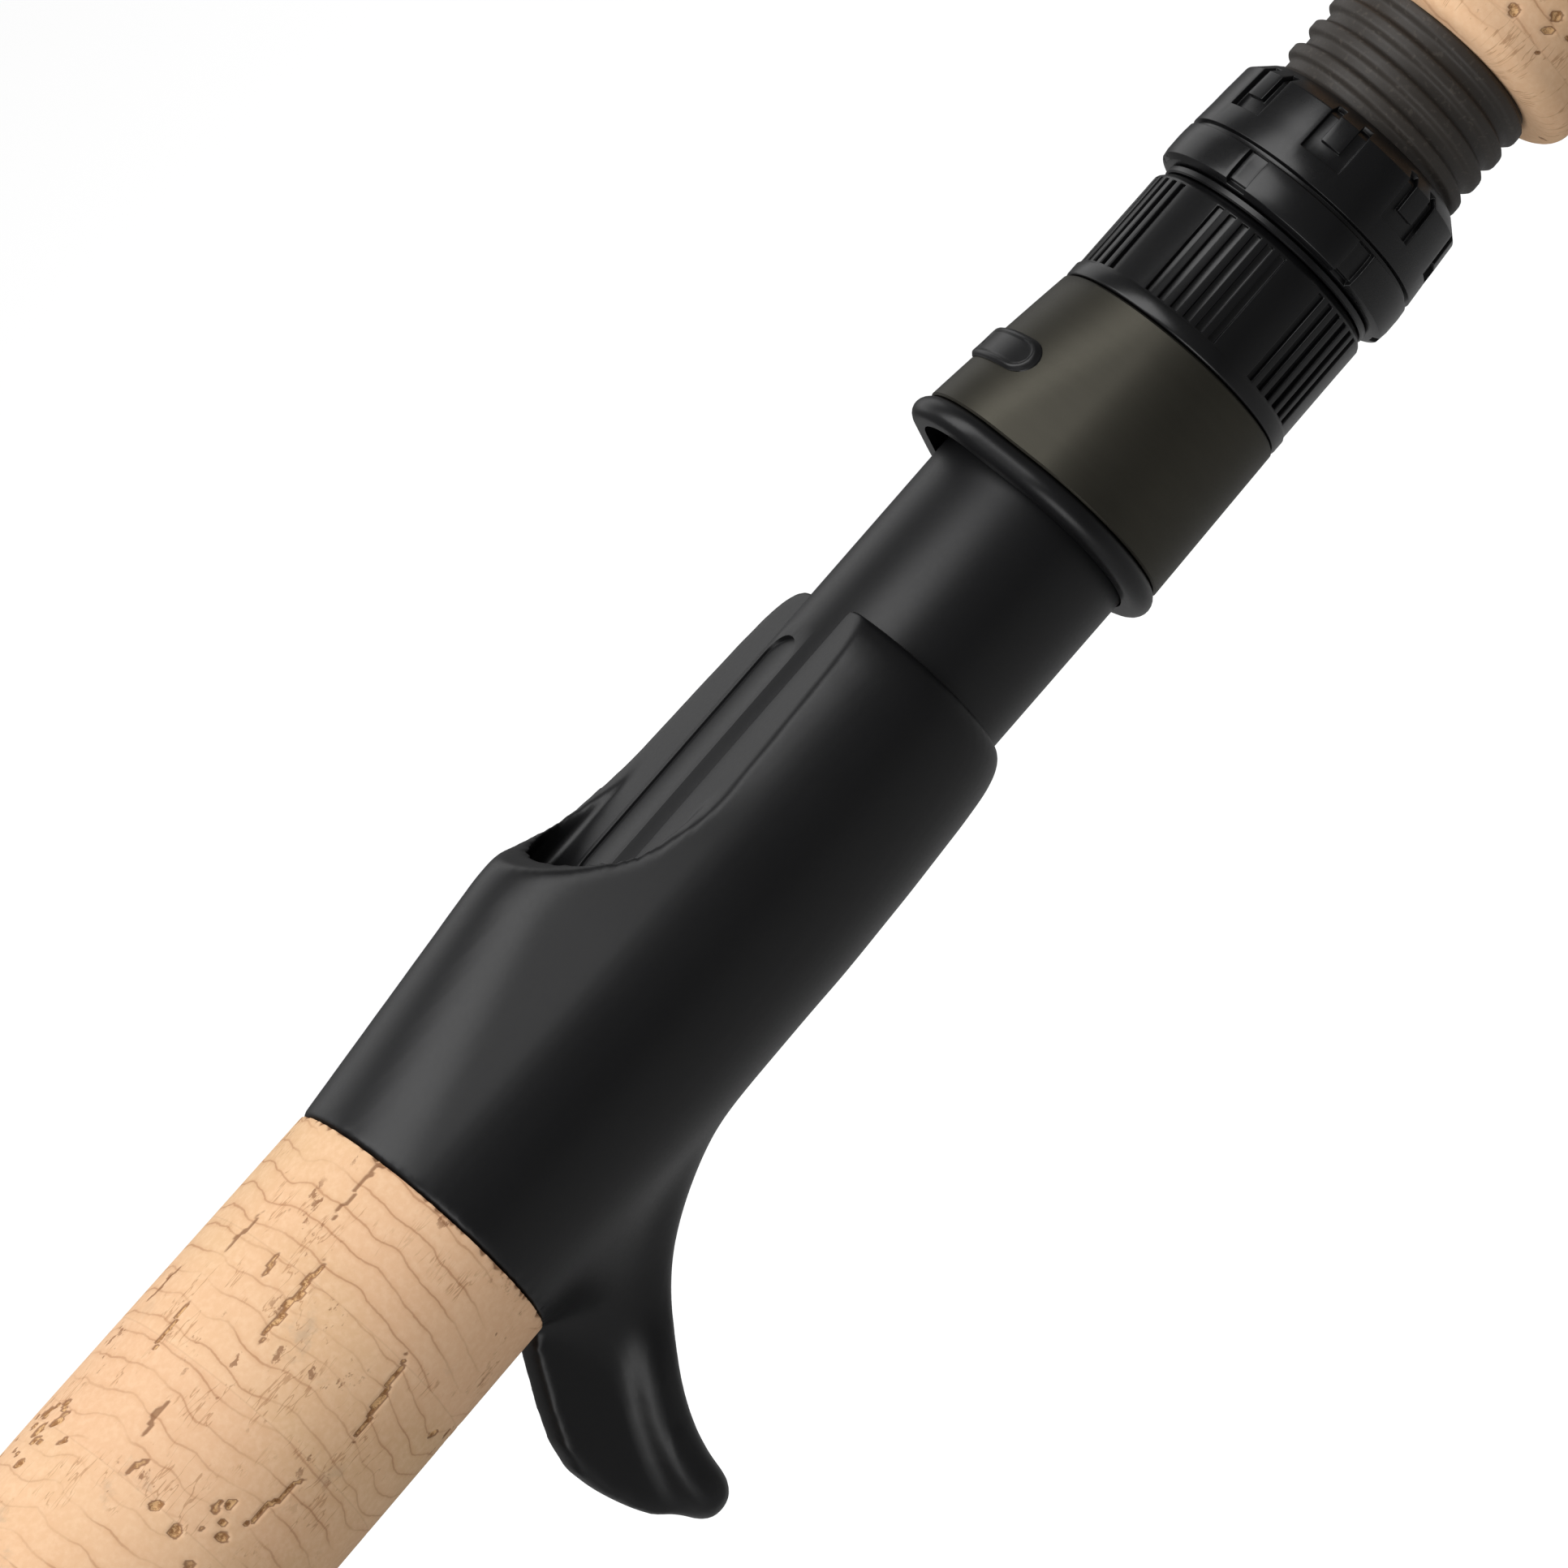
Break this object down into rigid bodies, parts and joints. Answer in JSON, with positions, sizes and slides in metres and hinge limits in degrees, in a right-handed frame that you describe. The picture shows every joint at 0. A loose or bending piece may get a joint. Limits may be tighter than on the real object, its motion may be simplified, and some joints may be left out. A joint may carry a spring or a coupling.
{
  "type": "fishing rod",
  "caption": "One-piece bait-casting rod with a cork grip, a trigger reel seat with a screw-down moving hood, tapered blank and line guides; no reel.",
  "frame": {"origin": "centre of the butt cap's end face, on the rod's axis", "axes": "+X along the rod's axis from the butt to the tip, +Z towards the reel side, the trigger points to -Z"},
  "size_m": [1.68, 0.0308, 0.0629],
  "materials": {
    "graphite": "clear-coated woven graphite",
    "rubber": "moulded rubber",
    "cork": "sanded natural cork",
    "seat_black": "satin moulded nylon",
    "foam": "cut foam",
    "hood_metal": "satin anodised",
    "nut_black": "moulded, semi-gloss",
    "washer_steel": "blackened",
    "polished_steel": "polished",
    "thread_wrap": "varnished thread",
    "ceramic": "polished ceramic"
  },
  "bodies": {
    "root": {"blank": "graphite", "butt_cap": "rubber", "rear_grip_rings": "cork", "reel_seat": "seat_black", "seat_arbors": "foam", "fore_grip_rings": "cork", "winding_check": "polished_steel", "hook_keeper": "polished_steel", "keeper_wraps": "thread_wrap", "tip_tube": "polished_steel", "tip_frame": "polished_steel", "tip_ring": "ceramic", "tip_wrap": "thread_wrap", "guide_1_frame": "polished_steel", "guide_2_frame": "polished_steel", "guide_3_frame": "polished_steel", "guide_4_frame": "polished_steel", "guide_5_frame": "polished_steel", "guide_6_frame": "polished_steel", "guide_7_frame": "polished_steel", "guide_1_ring": "ceramic", "guide_2_ring": "ceramic", "guide_3_ring": "ceramic", "guide_4_ring": "ceramic", "guide_5_ring": "ceramic", "guide_6_ring": "ceramic", "guide_7_ring": "ceramic", "guide_1_wraps": "thread_wrap", "guide_2_wraps": "thread_wrap", "guide_3_wraps": "thread_wrap", "guide_4_wraps": "thread_wrap", "guide_5_wraps": "thread_wrap", "guide_6_wraps": "thread_wrap", "guide_7_wraps": "thread_wrap"},
    "hood": {"hood_liner": "seat_black", "hood_band": "hood_metal"},
    "lock_nut": {"lock_nut": "nut_black"},
    "washer": {"slip_washer": "washer_steel"},
    "jam_nut": {"jam_nut": "nut_black"}
  },
  "joints": [
    {"name": "hood_slide", "type": "slide", "parent": "root", "child": "hood", "axis": [1, 0, 0], "range_m": [-0.015, 0.006]},
    {"name": "lock_nut_turn", "type": "hinge", "parent": "hood", "child": "lock_nut", "pos_m": [0.36065, 0, 0], "axis": [1, 0, 0], "range_deg": [-1801, 721]},
    {"name": "washer_slide", "type": "slide", "parent": "hood", "child": "washer", "axis": [1, 0, 0], "range_m": [0, 0.003]},
    {"name": "jam_nut_turn", "type": "hinge", "parent": "washer", "child": "jam_nut", "pos_m": [0.37525, 0, 0], "axis": [1, 0, 0], "range_deg": [-1, 361]}
  ],
  "couplings": [
    {"joint": "lock_nut_turn", "follows": "hood_slide", "rad_per_m": 2094.4},
    {"joint": "jam_nut_turn", "follows": "washer_slide", "rad_per_m": 2094.4}
  ]
}
